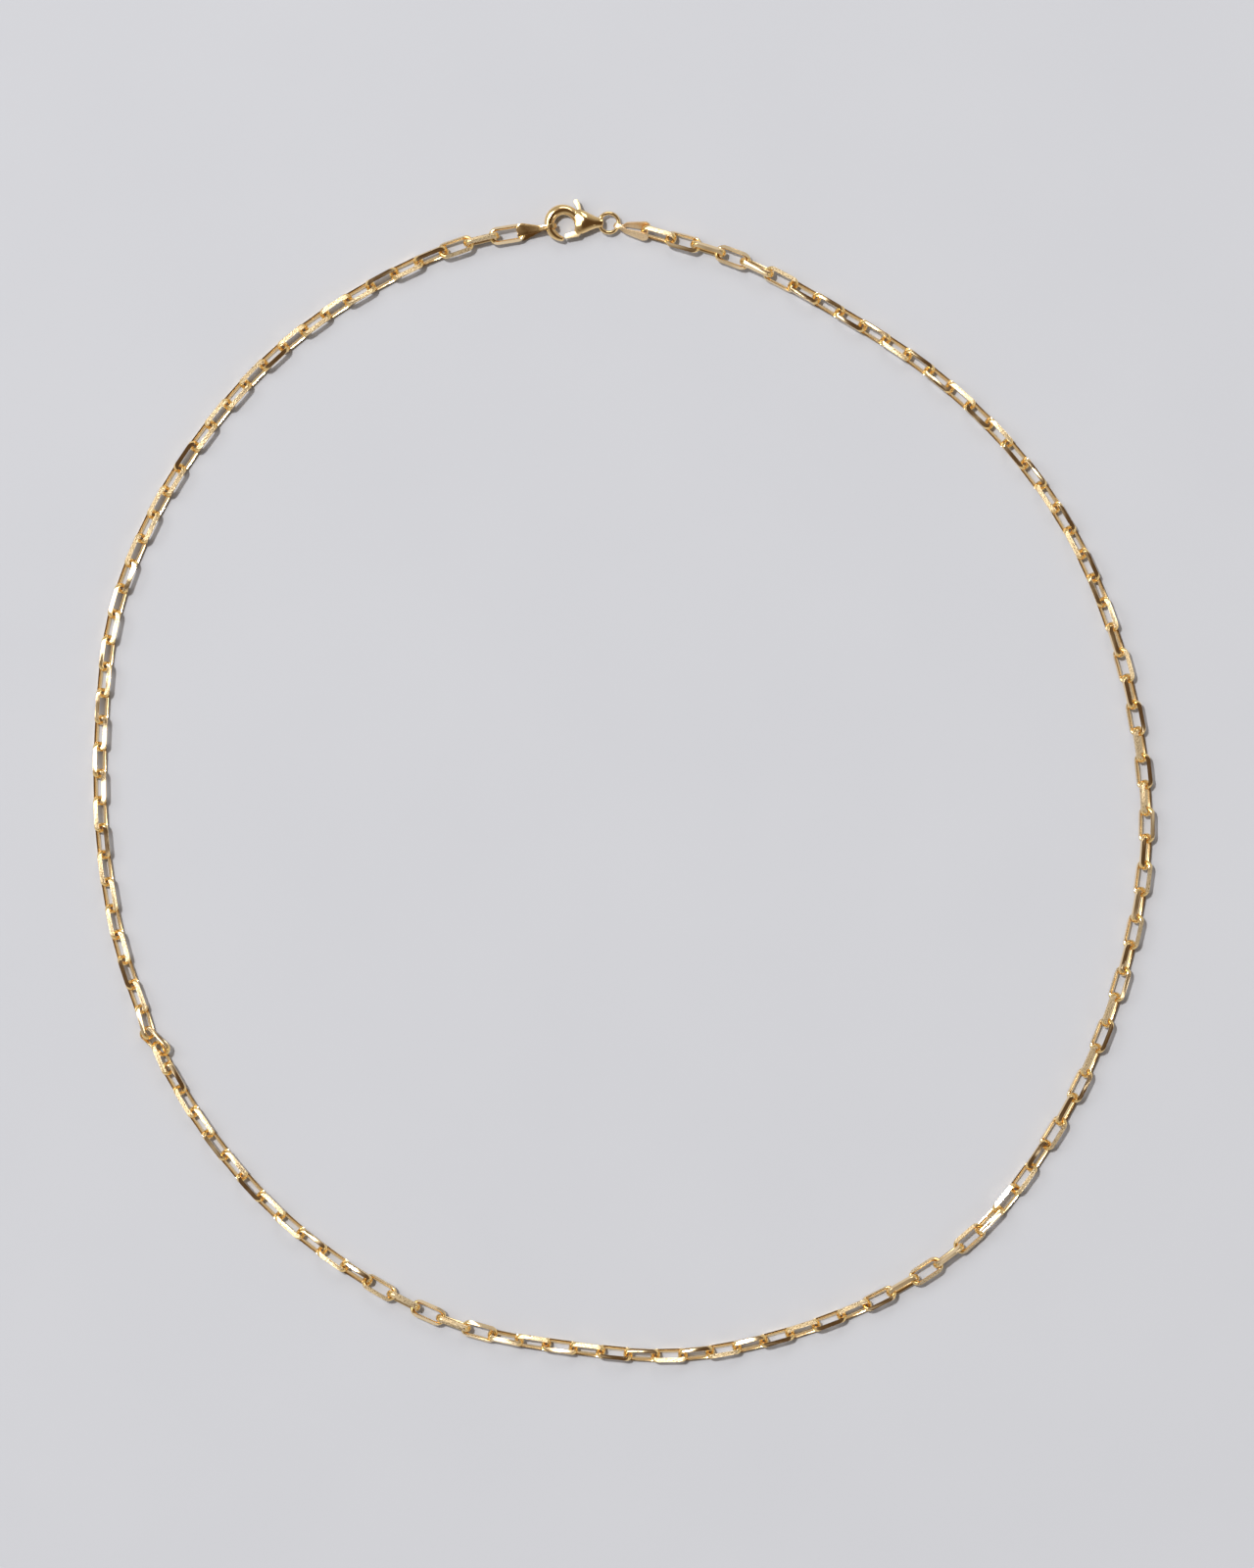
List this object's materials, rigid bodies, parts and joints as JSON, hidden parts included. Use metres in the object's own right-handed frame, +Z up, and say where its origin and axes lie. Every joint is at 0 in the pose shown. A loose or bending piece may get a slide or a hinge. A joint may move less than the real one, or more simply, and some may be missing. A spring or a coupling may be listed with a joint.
{
  "type": "oval link chain necklace",
  "caption": "Fine diamond-cut oval link chain necklace, fastened with a small lobster clasp, jump ring and two folded end tags, lying in a wide loop.",
  "frame": {"origin": "on the surface that the necklace lies on, below the middle of its loop", "axes": "+Z up from the surface, +Y towards the clasp, +X to the right seen from above with the clasp at the top"},
  "size_m": [0.1387, 0.1518, 0.0024],
  "materials": {
    "link_gold": "polished, with frosted cuts",
    "clasp_gold": "polished",
    "lever_gold": "satin",
    "tag_gold": "frosted"
  },
  "bodies": {
    "necklace": {"chain_right": "link_gold", "chain_left": "link_gold", "clasp_body": "clasp_gold", "clasp_pin": "clasp_gold", "jump_ring": "clasp_gold", "end_tag_right": "tag_gold", "end_tag_left": "tag_gold"},
    "lever": {"clasp_lever": "lever_gold"}
  },
  "joints": [
    {"name": "lever_hinge", "type": "hinge", "parent": "necklace", "child": "lever", "pos_m": [-0.00565, 0.07215, 0.00105], "axis": [0, 0, -1], "range_deg": [0, 25], "stiffness_Nm_per_rad": 0.00002}
  ]
}
